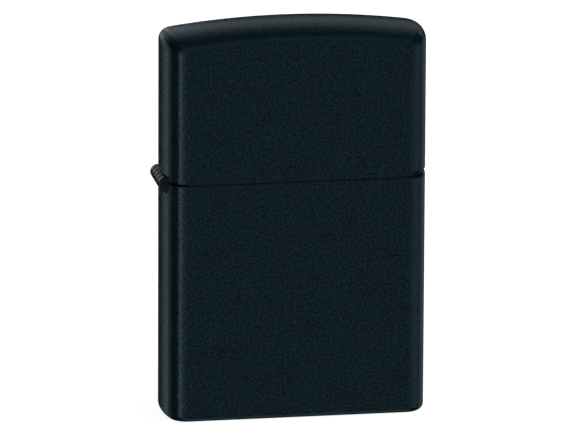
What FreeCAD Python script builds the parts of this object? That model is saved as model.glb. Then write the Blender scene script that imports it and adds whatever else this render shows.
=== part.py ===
import FreeCAD, Part
import math
import os

import Sketcher

# Flip-top windproof pocket lighter, lid closed.
# +Z is up and the lighter stands on its base at z = 0. The hinge is on the -X side, the two broad
# faces look along -Y and +Y, and the origin is the middle of the base. All lengths are millimetres.

DIMENSIONS = {
    # outer casing
    "body_width": 37.05,
    "body_depth": 12.9,
    "body_height": 55.7,
    "side_bulge_radius": 19.0,
    "plan_corner_radius": 2.8,
    "wall": 0.7,
    "rim_height": 34.0,
    "seam_gap": 0.25,
    "foot_radius": 0.9,
    "case_rim_round": 0.25,
    "lid_rim_round": 0.08,
    "crown_radius_along_width": 121.5,
    "crown_radius_along_depth": 23.0,
    "crown_edge_radius": 1.5,
    "crown_sketch_margin": 1.0,
    "crown_sketch_headroom": 4.0,
    "thumb_bevel_depth": 0.45,
    "thumb_bevel_height": 0.65,
    "thumb_bevel_start_x": 15.2,
    "cavity_edge_radius": 0.8,
    "cavity_foot_radius": 0.5,
    # hinge
    "hinge_axis_x": -18.22,
    "hinge_axis_z": 33.68,
    "barrel_radius": 1.08,
    "barrel_length": 7.7,
    "knuckle_count": 5,
    "knuckle_gap": 0.05,
    "knuckle_edge_radius": 0.22,
    "pin_radius": 0.45,
    "pin_clearance": 0.04,
    "pin_length": 7.9,
    "leaf_thickness": 0.4,
    "leaf_length": 7.9,
    "barrel_relief": 1.25,
    "upper_leaf_lap": 0.5,
    "notch_side_gap": 0.12,
    "notch_depth_inside": 1.2,
    "toe_reach": 1.6,
    "toe_thickness": 0.4,
    "toe_drop": 0.8,
    "toe_rise": 1.7,
    "toe_half_width": 2.0,
    "toe_weld_lap": 0.2,
    # insert
    "insert_width": 34.5,
    "insert_depth": 11.2,
    "insert_bulge_radius": 13.0,
    "insert_corner_radius": 2.9,
    "insert_wall": 0.45,
    "insert_offset_x": 0.3,
    "insert_bottom": 1.0,
    "insert_top": 35.05,
    "toe_window_bottom": 32.4,
    "toe_window_height": 5.0,
    "toe_window_half_width": 2.3,
    "toe_window_end_x": -16.2,
    # cam and its leaf spring
    "cam_pivot_x": -13.5,
    "cam_pivot_z": 36.7,
    "cam_thickness": 2.4,
    "cam_boss_radius": 1.2,
    "cam_bore_radius": 0.8,
    "cam_heel_arm": 4.1,
    "cam_heel_angle": 233.0,
    "cam_heel_radius": 0.55,
    "cam_nose_arm": 6.8,
    "cam_nose_angle": 117.0,
    "cam_nose_radius": 0.5,
    "cam_slot_end_x": -11.0,
    "cam_slot_half_width": 1.45,
    "cam_ear_thickness": 0.45,
    "cam_ear_half_length": 1.5,
    "cam_rivet_radius": 0.75,
    "cam_rivet_head_radius": 1.15,
    "rivet_head_height": 0.35,
    "spring_leaf_thickness": 0.3,
    "spring_leaf_half_width": 2.9,
    "spring_tongue_half_width": 1.6,
    "spring_tongue_end_x": -6.0,
    "spring_tube_lap": 3.4,
    "spring_slope_start_x": -3.4,
    "spring_slope_end_x": -8.4,
    "spring_heel_gap": 0.05,
    "spring_trough_drop": 0.45,
    "spring_ramp_length": 3.4,
    "spring_lip_length": 0.35,
    "spring_lip_rise": 0.05,
    "spring_wick_clearance": 0.4,
    "spring_tube_clearance": 0.1,
    # chimney
    "chimney_left": -7.6,
    "chimney_right": 5.4,
    "chimney_half_depth": 4.9,
    "chimney_wall": 0.45,
    "chimney_height": 16.4,
    "chimney_corner_radius": 1.6,
    "air_hole_radius": 1.2,
    "air_hole_pitch_x": 3.7,
    "air_hole_pitch_z": 3.4,
    "air_hole_centre_x": -1.6,
    "air_hole_centre_z": 44.6,
    "wheel_ear_half_gap": 2.95,
    "wheel_ear_start_x": 7.6,
    "wheel_ear_end_x": 13.0,
    "wheel_ear_half_height": 2.6,
    "wheel_ear_foot_reach": 2.0,
    "chimney_top_step": 0.6,
    # flint wheel
    "wheel_centre_x": 10.4,
    "wheel_centre_z": 44.3,
    "wheel_radius": 4.7,
    "wheel_thickness": 5.4,
    "wheel_bore_radius": 1.05,
    "wheel_tooth_count": 52,
    "wheel_tooth_depth": 0.24,
    "wheel_tooth_gap_share": 0.9,
    "wheel_tooth_overcut": 0.05,
    "wheel_rivet_radius": 1.0,
    "wheel_rivet_head_radius": 1.7,
    # flint feed
    "tube_outer_radius": 2.0,
    "tube_inner_radius": 1.45,
    "tube_bottom": 2.6,
    "tube_top": 38.6,
    "tube_flange_radius": 2.9,
    "tube_flange_bottom": 33.75,
    "tube_flange_thickness": 0.4,
    "flint_radius": 1.2,
    "flint_length": 5.0,
    "flint_top": 39.5,
    "tip_head_height": 1.2,
    "tip_stem_radius": 0.6,
    "tip_stem_length": 1.6,
    "coil_mean_radius": 0.98,
    "coil_wire_radius": 0.17,
    "coil_turns": 16,
    "coil_end_gap": 0.02,
    "screw_head_radius": 2.6,
    "screw_head_height": 1.5,
    "screw_shank_radius": 1.42,
    "screw_shank_length": 3.8,
    "screw_slot_width": 0.7,
    "screw_slot_depth": 0.8,
    # wick, packing and felt
    "wick_radius": 1.45,
    "wick_x": -0.8,
    "wick_top": 46.0,
    "wick_hole_radius": 1.8,
    "packing_half_depth": 4.6,
    "packing_radius": 1.8,
    "felt_bottom": 1.5,
    "felt_thickness": 2.6,
    "felt_margin": 0.35,
    "felt_screw_hole_radius": 3.0,
}

EDGE_TOLERANCE = 0.01
# How far a cutting body runs past the face that it opens.
OVERRUN = 1.0
# The turn of the crown's profile about its far axis, enough to pass both ends of the lid.
CROWN_TURN_DEG = 40.0
# The crown's edges lie this far above the lid's rim and climb less than this.
CROWN_EDGE_RISE = 15.0
CROWN_EDGE_CLIMB = 2.5
# The share of a wick run that each of its arcs takes up.
ARC_SHARE = 0.45
# The windguard's inside bends sit this share of its wall short of the outside ones.
BEND_SHIFT_SHARE = 0.25
# How many air holes stand side by side in each row of the windguard, from the top row down.
AIR_HOLE_ROWS = (3, 2, 3)
# The barrel's knuckles, counted from the front, that belong to each leaf of the hinge.
LOWER_KNUCKLES = (0, 2, 4)
UPPER_KNUCKLES = (1, 3)

doc = FreeCAD.newDocument("pocket_lighter")
sheet = doc.addObject("Spreadsheet::Sheet", "Dims")
for row, (alias, number) in enumerate(DIMENSIONS.items(), start=1):
    sheet.set(f"A{row}", alias)
    sheet.set(f"B{row}", str(number))
    sheet.setAlias(f"B{row}", alias)
doc.recompute()

finished_parts = []


def cell(alias):
    """The value of one driving dimension, as the sheet holds it."""
    return float(sheet.get(alias))


def dims(expression):
    """Write an expression of sheet aliases as FreeCAD wants it, each alias with the sheet's name."""
    for alias in sorted(DIMENSIONS, key=len, reverse=True):
        expression = expression.replace(f"<{alias}>", f"Dims.{alias}")
    return expression


def value_of(expression):
    """The number that an expression of the sheet's aliases comes to."""
    return float(sheet.evalExpression(dims(expression).replace("Dims.", "")))


def bind(item, properties):
    """Bind properties of a document object to expressions of the sheet's cells."""
    for name, expression in properties.items():
        item.setExpression(name, dims(expression))


def finish_part(item, label):
    """Give a sub-part its label, which names its file, and keep it for the export."""
    item.Label = label
    finished_parts.append(item)
    return item


# ---------------------------------------------------------------- general building blocks


def block(name, low_x, low_y, low_z, size_x, size_y, size_z):
    """A box whose corner and sides are expressions of the sheet."""
    item = doc.addObject("Part::Box", name)
    bind(item, {
        "Length": size_x,
        "Width": size_y,
        "Height": size_z,
        ".Placement.Base.x": low_x,
        ".Placement.Base.y": low_y,
        ".Placement.Base.z": low_z,
    })
    return item


def upright_cylinder(name, radius, length, x, z):
    """A cylinder along +Z from the height z, centred on y = 0."""
    item = doc.addObject("Part::Cylinder", name)
    bind(item, {
        "Radius": radius,
        "Height": length,
        ".Placement.Base.x": x,
        ".Placement.Base.z": z,
    })
    return item


def cross_cylinder(name, radius, length, x, z, middle_y="0"):
    """A cylinder along Y, centred on middle_y, at the place (x, z)."""
    item = doc.addObject("Part::Cylinder", name)
    item.Placement.Rotation = FreeCAD.Rotation(FreeCAD.Vector(1, 0, 0), -90)
    bind(item, {
        "Radius": radius,
        "Height": length,
        ".Placement.Base.x": x,
        ".Placement.Base.y": f"({middle_y}) - ({length}) / 2",
        ".Placement.Base.z": z,
    })
    return item


def upright_hole(name, radius, x):
    """A cutter along Z, longer than the lighter is high."""
    return upright_cylinder(name, radius, f"<body_height> + {2 * OVERRUN}", x, f"-{OVERRUN}")


def cross_hole(name, radius, x, z):
    """A cutter along Y, longer than the lighter is deep."""
    return cross_cylinder(name, radius, "2 * <body_depth>", x, z)


def cut(name, base, *tools):
    """Take one or more tools from a base, one after the other."""
    result = base
    for number, tool in enumerate(tools, start=1):
        step = doc.addObject("Part::Cut", f"{name}_cut_{number}")
        step.Base = result
        step.Tool = tool
        result = step
    return result


def fuse(name, *items):
    """Join several objects into one."""
    joined = doc.addObject("Part::MultiFuse", f"{name}_fuse")
    joined.Shapes = list(items)
    joined.Refine = True
    return joined


def common(name, first, second):
    """Keep what two objects share."""
    shared = doc.addObject("Part::MultiCommon", f"{name}_common")
    shared.Shapes = [first, second]
    return shared


def origin_plane(body, role):
    """One of a body's own origin planes."""
    return next(item for item in body.Origin.OriginFeatures if item.Role == role)


def new_sketch(body, name, role="XY_Plane", lift="0"):
    """A sketch on one of the body's origin planes, lifted along the plane's normal."""
    sketch = body.newObject("Sketcher::SketchObject", name)
    sketch.AttachmentSupport = [(origin_plane(body, role), "")]
    sketch.MapMode = "FlatFace"
    sketch.setExpression(".AttachmentOffset.Base.z", dims(lift))
    return sketch


def constrain(sketch, kind, *arguments, expression=None):
    """Add a constraint to a sketch, bound to an expression of the sheet where one is given."""
    number = sketch.addConstraint(Sketcher.Constraint(kind, *arguments))
    if expression is not None:
        sketch.setExpression(f"Constraints[{number}]", dims(expression))
    return number


def draw_outline(sketch, half_width, half_depth, bulge, corner, inset="0"):
    """Draw the lighter's plan: two straight faces, two bulged ends and four corner arcs.

    The sizes are expressions of the sheet. The inset moves the whole outline inwards.
    """
    inward = value_of(inset)
    w = value_of(half_width) - inward
    d = value_of(half_depth) - inward
    big = value_of(bulge) - inward
    small = value_of(corner) - inward
    end_x = w - big
    corner_y = d - small
    corner_x = end_x + math.sqrt((big - small) ** 2 - corner_y ** 2)
    swing = math.atan2(corner_y, corner_x - end_x)

    vector = FreeCAD.Vector
    up = vector(0, 0, 1)

    def arc(x, y, radius, start, end):
        return Part.ArcOfCircle(Part.Circle(vector(x, y, 0), up, radius), start, end)

    quarter = math.pi / 2
    shapes = [
        Part.LineSegment(vector(-corner_x, -d, 0), vector(corner_x, -d, 0)),
        arc(corner_x, -corner_y, small, -quarter, -swing),
        arc(end_x, 0, big, -swing, swing),
        arc(corner_x, corner_y, small, swing, quarter),
        Part.LineSegment(vector(corner_x, d, 0), vector(-corner_x, d, 0)),
        arc(-corner_x, corner_y, small, quarter, math.pi - swing),
        arc(-end_x, 0, big, math.pi - swing, math.pi + swing),
        arc(-corner_x, -corner_y, small, math.pi + swing, 3 * quarter),
    ]
    sketch.addGeometry(shapes, False)
    start, end, centre = 1, 2, 3
    for number in range(len(shapes)):
        constrain(sketch, "Tangent", number, end, (number + 1) % len(shapes), start)
    for line, sign in ((0, -1), (4, 1)):
        constrain(sketch, "Horizontal", line)
        constrain(
            sketch, "DistanceY", -1, 1, line, start, sign * d,
            expression=f"({sign}) * (({half_depth}) - ({inset}))",
        )
    for number in (1, 3, 5, 7):
        constrain(sketch, "Radius", number, small, expression=f"({corner}) - ({inset})")
    for number, sign in ((2, 1), (6, -1)):
        constrain(sketch, "Radius", number, big, expression=f"({bulge}) - ({inset})")
        constrain(sketch, "PointOnObject", number, centre, -1)
        constrain(
            sketch, "DistanceX", -1, 1, number, centre, sign * end_x,
            expression=f"({sign}) * (({half_width}) - ({bulge}))",
        )


CASING_PLAN = (
    "<body_width> / 2", "<body_depth> / 2", "<side_bulge_radius>", "<plan_corner_radius>",
)
INSERT_PLAN = (
    "<insert_width> / 2", "<insert_depth> / 2", "<insert_bulge_radius>", "<insert_corner_radius>",
)


def outline_body(name, plan, bottom, height, inset="0"):
    """A body holding the plan outline padded from one height upwards."""
    body = doc.addObject("PartDesign::Body", name)
    sketch = new_sketch(body, f"{name}_plan", lift=bottom)
    draw_outline(sketch, *plan, inset=inset)
    pad = body.newObject("PartDesign::Pad", f"{name}_pad")
    pad.Profile = sketch
    bind(pad, {"Length": height})
    doc.recompute()
    return body


def edges_at(shape, wanted):
    """Names of the shape's edges for which wanted(edge's bounding box) holds."""
    return [
        f"Edge{number}"
        for number, edge in enumerate(shape.Edges, start=1)
        if wanted(edge.BoundBox)
    ]


def round_edges(body, name, wanted, radius):
    """Fillet the edges of a body's tip that wanted picks."""
    base = body.Tip
    fillet = body.newObject("PartDesign::Fillet", name)
    fillet.Base = (base, edges_at(base.Shape, wanted))
    bind(fillet, {"Radius": radius})
    doc.recompute()
    return fillet


def crown_body(body, name, top):
    """Groove a body's top into a crown that curves along its width and across its depth.

    The profile is the space above an arc across the depth, turned about a far axis along Y.
    """
    sketch = new_sketch(body, f"{name}_profile", role="YZ_Plane")
    vector = FreeCAD.Vector
    top_z = value_of(top)
    across = cell("crown_radius_along_depth")
    along = cell("crown_radius_along_width")
    half_span = "(<body_depth> / 2 + <crown_sketch_margin>)"
    reach = value_of(half_span)
    shoulder = top_z - across + math.sqrt(across ** 2 - reach ** 2)
    lid_top = top_z + cell("crown_sketch_headroom")
    start_angle = math.atan2(shoulder - (top_z - across), reach)
    circle = Part.Circle(vector(0, top_z - across, 0), vector(0, 0, 1), across)
    sketch.addGeometry([
        Part.ArcOfCircle(circle, start_angle, math.pi - start_angle),
        Part.LineSegment(vector(-reach, shoulder, 0), vector(-reach, lid_top, 0)),
        Part.LineSegment(vector(-reach, lid_top, 0), vector(reach, lid_top, 0)),
        Part.LineSegment(vector(reach, lid_top, 0), vector(reach, shoulder, 0)),
    ], False)
    axis = sketch.addGeometry(
        Part.LineSegment(vector(-reach, top_z - along, 0), vector(reach, top_z - along, 0)), True,
    )
    constrain(sketch, "Coincident", 0, 2, 1, 1)
    constrain(sketch, "Coincident", 1, 2, 2, 1)
    constrain(sketch, "Coincident", 2, 2, 3, 1)
    constrain(sketch, "Coincident", 3, 2, 0, 1)
    constrain(sketch, "Vertical", 1)
    constrain(sketch, "Horizontal", 2)
    constrain(sketch, "Vertical", 3)
    constrain(sketch, "Horizontal", axis)
    constrain(sketch, "PointOnObject", 0, 3, -2)
    constrain(sketch, "Radius", 0, across, expression="<crown_radius_along_depth>")
    constrain(
        sketch, "DistanceY", -1, 1, 0, 3, top_z - across,
        expression=f"({top}) - <crown_radius_along_depth>",
    )
    constrain(sketch, "DistanceX", -1, 1, 2, 2, reach, expression=half_span)
    constrain(sketch, "DistanceX", -1, 1, 2, 1, -reach, expression=f"-{half_span}")
    constrain(
        sketch, "DistanceY", -1, 1, 2, 1, lid_top,
        expression=f"({top}) + <crown_sketch_headroom>",
    )
    constrain(
        sketch, "DistanceY", -1, 1, axis, 1, top_z - along,
        expression=f"({top}) - <crown_radius_along_width>",
    )
    constrain(sketch, "DistanceX", -1, 1, axis, 1, -reach, expression=f"-{half_span}")
    constrain(sketch, "DistanceX", -1, 1, axis, 2, reach, expression=half_span)
    doc.recompute()
    groove = body.newObject("PartDesign::Groove", name)
    groove.Profile = sketch
    groove.ReferenceAxis = (sketch, ["Axis0"])
    groove.Angle = CROWN_TURN_DEG
    groove.Midplane = True
    doc.recompute()
    return groove


# ---------------------------------------------------------------- casing


def hinge_notch(name):
    """The gap in the hinge-side wall that the barrel sits in, above and below the seam."""
    half = "(<barrel_length> / 2 + <notch_side_gap>)"
    return block(
        name,
        f"-<body_width> / 2 - {OVERRUN}", f"-{half}", "<hinge_axis_z> - <barrel_relief>",
        f"<wall> + <notch_depth_inside> + {OVERRUN}", f"2 * {half}", "2 * <barrel_relief>",
    )


def make_case_bottom():
    outer = outline_body("case_outer", CASING_PLAN, "0", "<rim_height>")
    round_edges(
        outer, "case_foot", lambda box: box.ZMax < EDGE_TOLERANCE, "<foot_radius>",
    )
    rim = cell("rim_height")
    round_edges(
        outer, "case_rim", lambda box: box.ZMin > rim - EDGE_TOLERANCE, "<case_rim_round>",
    )
    cavity = outline_body(
        "case_cavity", CASING_PLAN, "<wall>", "<rim_height>", inset="<wall>",
    )
    floor = cell("wall")
    round_edges(
        cavity, "case_cavity_foot",
        lambda box: box.ZMax < floor + EDGE_TOLERANCE, "<cavity_foot_radius>",
    )
    hollow = cut("case_bottom", outer, cavity, hinge_notch("case_notch"))
    return finish_part(hollow, "case_bottom")


def crown_edges(bottom):
    """Pick the edges round the crown: they lie wholly above the lid's straight walls."""
    return lambda box: box.ZMin > bottom + CROWN_EDGE_RISE and box.ZLength < CROWN_EDGE_CLIMB


def thumb_bevel(bottom):
    """What is taken off the lid's lower edge where a thumb lifts it, on the side away from the hinge.

    The plan, padded along a leaning line, is set back at the rim and meets the wall higher up. The
    bevel is the rest of a slab round it, so it fades out round the two corners.
    """
    depth, height = cell("thumb_bevel_depth"), cell("thumb_bevel_height")
    set_back = f"<thumb_bevel_depth> * (1 + {OVERRUN} / <thumb_bevel_height>)"
    leaning = doc.addObject("PartDesign::Body", "thumb_lean")
    sketch = new_sketch(leaning, "thumb_lean_plan", lift=f"{bottom} - {OVERRUN}")
    draw_outline(sketch, *CASING_PLAN)
    pad = leaning.newObject("PartDesign::Pad", "thumb_lean_pad")
    pad.Profile = sketch
    pad.UseCustomVector = True
    pad.Direction = FreeCAD.Vector(depth, 0, height)
    pad.AlongSketchNormal = True
    bind(pad, {"Length": f"<thumb_bevel_height> + {OVERRUN}"})
    doc.recompute()
    bind(leaning, {".Placement.Base.x": f"-{set_back}"})
    slab = block(
        "thumb_slab",
        "<thumb_bevel_start_x>", f"-<body_depth> / 2 - {OVERRUN}", f"{bottom} - {OVERRUN}",
        f"<body_width> / 2 - <thumb_bevel_start_x> + {OVERRUN}", f"<body_depth> + {2 * OVERRUN}",
        f"<thumb_bevel_height> + {OVERRUN}",
    )
    return cut("thumb_bevel", slab, leaning)


def make_lid():
    bottom = "<rim_height> + <seam_gap>"
    lid_bottom = cell("rim_height") + cell("seam_gap")
    rough_height = f"<body_height> - <rim_height> + {OVERRUN}"
    outer = outline_body("lid_outer", CASING_PLAN, bottom, rough_height)
    crown_body(outer, "lid_crown", "<body_height>")
    round_edges(outer, "lid_crown_edge", crown_edges(lid_bottom), "<crown_edge_radius>")
    round_edges(
        outer, "lid_rim", lambda box: box.ZMax < lid_bottom + EDGE_TOLERANCE, "<lid_rim_round>",
    )
    cavity = outline_body(
        "lid_cavity", CASING_PLAN, f"{bottom} - {OVERRUN}", rough_height, inset="<wall>",
    )
    crown_body(cavity, "lid_cavity_crown", "<body_height> - <wall>")
    round_edges(
        cavity, "lid_cavity_edge", crown_edges(lid_bottom), "<cavity_edge_radius>",
    )
    hollow = cut("lid", outer, cavity, hinge_notch("lid_notch"), thumb_bevel(bottom))
    return finish_part(hollow, "lid")


# ---------------------------------------------------------------- hinge


def knuckle_middle(number):
    """The middle, along Y, of one of the barrel's knuckles."""
    pitch = "(<barrel_length> + <knuckle_gap>) / <knuckle_count>"
    return f"-(<barrel_length> + <knuckle_gap>) / 2 + {pitch} * {number + 0.5}"


def knuckle(name, number, length):
    """One knuckle of the barrel, with its two rims rounded."""
    barrel = cross_cylinder(
        f"{name}_blank", "<barrel_radius>", length,
        "<hinge_axis_x>", "<hinge_axis_z>", middle_y=knuckle_middle(number),
    )
    doc.recompute()
    rounded = doc.addObject("Part::Fillet", name)
    rounded.Base = barrel
    radius = cell("knuckle_edge_radius")
    rounded.Edges = [
        (place, radius, radius)
        for place, edge in enumerate(barrel.Shape.Edges, start=1)
        if edge.BoundBox.YLength < EDGE_TOLERANCE
    ]
    return rounded


def leaf_plate(name, bottom, height):
    """A plate that follows the inside of the hinge-side wall."""
    outer = outline_body(f"{name}_outer", CASING_PLAN, bottom, height, inset="<wall>")
    inner = outline_body(
        f"{name}_inner", CASING_PLAN, f"{bottom} - {OVERRUN}", f"{height} + {2 * OVERRUN}",
        inset="<wall> + <leaf_thickness>",
    )
    strip = block(
        f"{name}_strip",
        "-<body_width> / 2", "-<barrel_length> / 2", bottom,
        "<body_width> / 4", "<barrel_length>", height,
    )
    return common(name, cut(f"{name}_ring", outer, inner), strip)


def hinge_leaf(label, bottom, height, own_knuckles, relief_bottom, extras=()):
    """One leaf of the hinge: its plate, its own knuckles, and gaps for the other leaf's."""
    others = [
        number for number in range(int(cell("knuckle_count"))) if number not in own_knuckles
    ]
    knuckle_length = "((<barrel_length> + <knuckle_gap>) / <knuckle_count> - <knuckle_gap>)"
    plate = leaf_plate(label, bottom, height)
    gaps = [
        block(
            f"{label}_gap_{number}",
            "-<body_width> / 2", f"{knuckle_middle(number)} - {knuckle_length} / 2 - <knuckle_gap>",
            relief_bottom,
            "2 * <barrel_relief>", f"{knuckle_length} + 2 * <knuckle_gap>",
            "<barrel_relief> + <upper_leaf_lap>",
        )
        for number in others
    ]
    knuckles = [
        knuckle(f"{label}_knuckle_{number}", number, knuckle_length) for number in own_knuckles
    ]
    bore = cross_hole(
        f"{label}_bore", "<pin_radius> + <pin_clearance>", "<hinge_axis_x>", "<hinge_axis_z>",
    )
    joined = fuse(label, cut(f"{label}_gapped", plate, *gaps), *knuckles, *extras)
    return finish_part(cut(label, joined, bore), label)


def make_hinge():
    hinge_leaf(
        "hinge_lower_leaf",
        "<hinge_axis_z> - <leaf_length>", "<leaf_length>",
        own_knuckles=LOWER_KNUCKLES,
        relief_bottom="<hinge_axis_z> - <barrel_relief>",
    )
    # The upper leaf carries a toe that hooks over the barrel and down inside it. The cam's heel
    # presses on it below the pin to hold the lid shut, and its nose presses on it when open.
    face_x = "<hinge_axis_x> + <toe_reach>"
    toe_shelf = block(
        "toe_shelf",
        "-<body_width> / 2 + <wall> + <toe_weld_lap>", "-<toe_half_width>",
        "<hinge_axis_z> + <toe_rise> - <toe_thickness>",
        f"{face_x} + <body_width> / 2 - <wall> - <toe_weld_lap>", "2 * <toe_half_width>",
        "<toe_thickness>",
    )
    toe_blade = block(
        "toe_blade",
        f"{face_x} - <toe_thickness>", "-<toe_half_width>", "<hinge_axis_z> - <toe_drop>",
        "<toe_thickness>", "2 * <toe_half_width>", "<toe_rise> + <toe_drop>",
    )
    hinge_leaf(
        "hinge_upper_leaf",
        "<hinge_axis_z>", "<leaf_length> + 2 * <upper_leaf_lap>",
        own_knuckles=UPPER_KNUCKLES,
        relief_bottom="<hinge_axis_z> - <upper_leaf_lap>",
        extras=(toe_shelf, toe_blade),
    )
    pin = cross_cylinder(
        "pin", "<pin_radius>", "<pin_length>", "<hinge_axis_x>", "<hinge_axis_z>",
    )
    finish_part(pin, "hinge_pin")


# ---------------------------------------------------------------- insert


def place_insert(item):
    """Move a body drawn about the insert's own middle to its place in the case."""
    bind(item, {".Placement.Base.x": "<insert_offset_x>"})


def toe_window(name):
    """The opening at the insert's hinge-side top that the leaf's toe swings through."""
    return block(
        name,
        "-<body_width> / 2", "-<toe_window_half_width>", "<toe_window_bottom>",
        "<toe_window_end_x> + <body_width> / 2", "2 * <toe_window_half_width>",
        "<toe_window_height>",
    )


def make_insert_shell():
    outer = outline_body(
        "insert_outer", INSERT_PLAN, "<insert_bottom>", "<insert_top> - <insert_bottom>",
    )
    inner = outline_body(
        "insert_inner", INSERT_PLAN, f"<insert_bottom> - {OVERRUN}",
        f"<insert_top> - <insert_bottom> + {2 * OVERRUN}", inset="<insert_wall>",
    )
    place_insert(outer)
    place_insert(inner)
    shell = cut("insert_shell", outer, inner, toe_window("shell_toe_window"))
    return finish_part(shell, "insert_shell")


def make_top_plate():
    plate = outline_body(
        "top_plate", INSERT_PLAN, "<insert_top> - <insert_wall>", "<insert_wall>",
        inset="<insert_wall>",
    )
    place_insert(plate)
    cam_slot = block(
        "cam_slot",
        f"<toe_window_end_x> - {OVERRUN}", "-<cam_slot_half_width>",
        f"<insert_top> - <insert_wall> - {OVERRUN}",
        f"<cam_slot_end_x> - <toe_window_end_x> + {OVERRUN}", "2 * <cam_slot_half_width>",
        f"<insert_wall> + {2 * OVERRUN}",
    )
    wick_hole = upright_hole("wick_hole", "<wick_hole_radius>", "<wick_x>")
    tube_hole = upright_hole("tube_hole", "<tube_outer_radius>", "<wheel_centre_x>")
    opened = cut(
        "top_plate_opened", plate, toe_window("plate_toe_window"), cam_slot, wick_hole, tube_hole,
    )
    ears = []
    rise = "<cam_pivot_z> - <insert_top>"
    for side, low_y in (
        ("front", "-<cam_slot_half_width> - <cam_ear_thickness>"),
        ("back", "<cam_slot_half_width>"),
    ):
        ears.append(block(
            f"cam_ear_{side}",
            "<cam_pivot_x> - <cam_ear_half_length>", low_y, "<insert_top> - <insert_wall>",
            "2 * <cam_ear_half_length>", "<cam_ear_thickness>", f"{rise} + <insert_wall>",
        ))
        ears.append(cross_cylinder(
            f"cam_ear_round_{side}", "<cam_ear_half_length>", "<cam_ear_thickness>",
            "<cam_pivot_x>", "<cam_pivot_z>", middle_y=f"{low_y} + <cam_ear_thickness> / 2",
        ))
    rivet_hole = cross_hole(
        "cam_rivet_hole", "<cam_rivet_radius>", "<cam_pivot_x>", "<cam_pivot_z>",
    )
    plate_with_ears = cut("insert_top_plate", fuse("insert_top_plate", opened, *ears), rivet_hole)
    return finish_part(plate_with_ears, "insert_top_plate")


def rivet(label, radius, head_radius, half_span, x, z):
    """A rivet along Y whose two flat heads stand outside its ears."""
    shank = cross_cylinder(f"{label}_shank", radius, f"2 * ({half_span})", x, z)
    heads = [
        cross_cylinder(
            f"{label}_head_{number}", head_radius, "<rivet_head_height>", x, z,
            middle_y=f"({sign}) * (({half_span}) + <rivet_head_height> / 2)",
        )
        for number, sign in enumerate((-1, 1))
    ]
    return finish_part(fuse(label, shank, *heads), label)


# ---------------------------------------------------------------- cam


def tapered_arm(x, z, radius, tip_x, tip_z, tip_radius):
    """A face in the XZ plane: two circles of different size and the two lines that touch both."""
    length = math.hypot(tip_x - x, tip_z - z)
    heading = math.atan2(tip_z - z, tip_x - x)
    lean = math.acos((radius - tip_radius) / length)

    def on(cx, cz, r, angle):
        return FreeCAD.Vector(cx + r * math.cos(angle), 0, cz + r * math.sin(angle))

    root_up = on(x, z, radius, heading + lean)
    root_down = on(x, z, radius, heading - lean)
    tip_up = on(tip_x, tip_z, tip_radius, heading + lean)
    tip_down = on(tip_x, tip_z, tip_radius, heading - lean)
    edges = [
        Part.LineSegment(root_up, tip_up).toShape(),
        Part.Arc(tip_up, on(tip_x, tip_z, tip_radius, heading), tip_down).toShape(),
        Part.LineSegment(tip_down, root_down).toShape(),
        Part.Arc(root_down, on(x, z, radius, heading + math.pi), root_up).toShape(),
    ]
    return Part.Face(Part.Wire(edges))


def make_cam():
    x, z = cell("cam_pivot_x"), cell("cam_pivot_z")
    thickness = cell("cam_thickness")
    arms = []
    for limb in ("heel", "nose"):
        angle = math.radians(cell(f"cam_{limb}_angle"))
        reach = cell(f"cam_{limb}_arm")
        face = tapered_arm(
            x, z, cell("cam_boss_radius"),
            x + reach * math.cos(angle), z + reach * math.sin(angle), cell(f"cam_{limb}_radius"),
        )
        face.translate(FreeCAD.Vector(0, -thickness / 2, 0))
        arms.append(face.extrude(FreeCAD.Vector(0, thickness, 0)))
    blade = doc.addObject("Part::Feature", "cam_blade")
    blade.Shape = arms[0].fuse(arms[1]).removeSplitter()
    bore = cross_hole("cam_bore", "<cam_bore_radius>", "<cam_pivot_x>", "<cam_pivot_z>")
    return finish_part(cut("cam", blade, bore), "cam")


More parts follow.
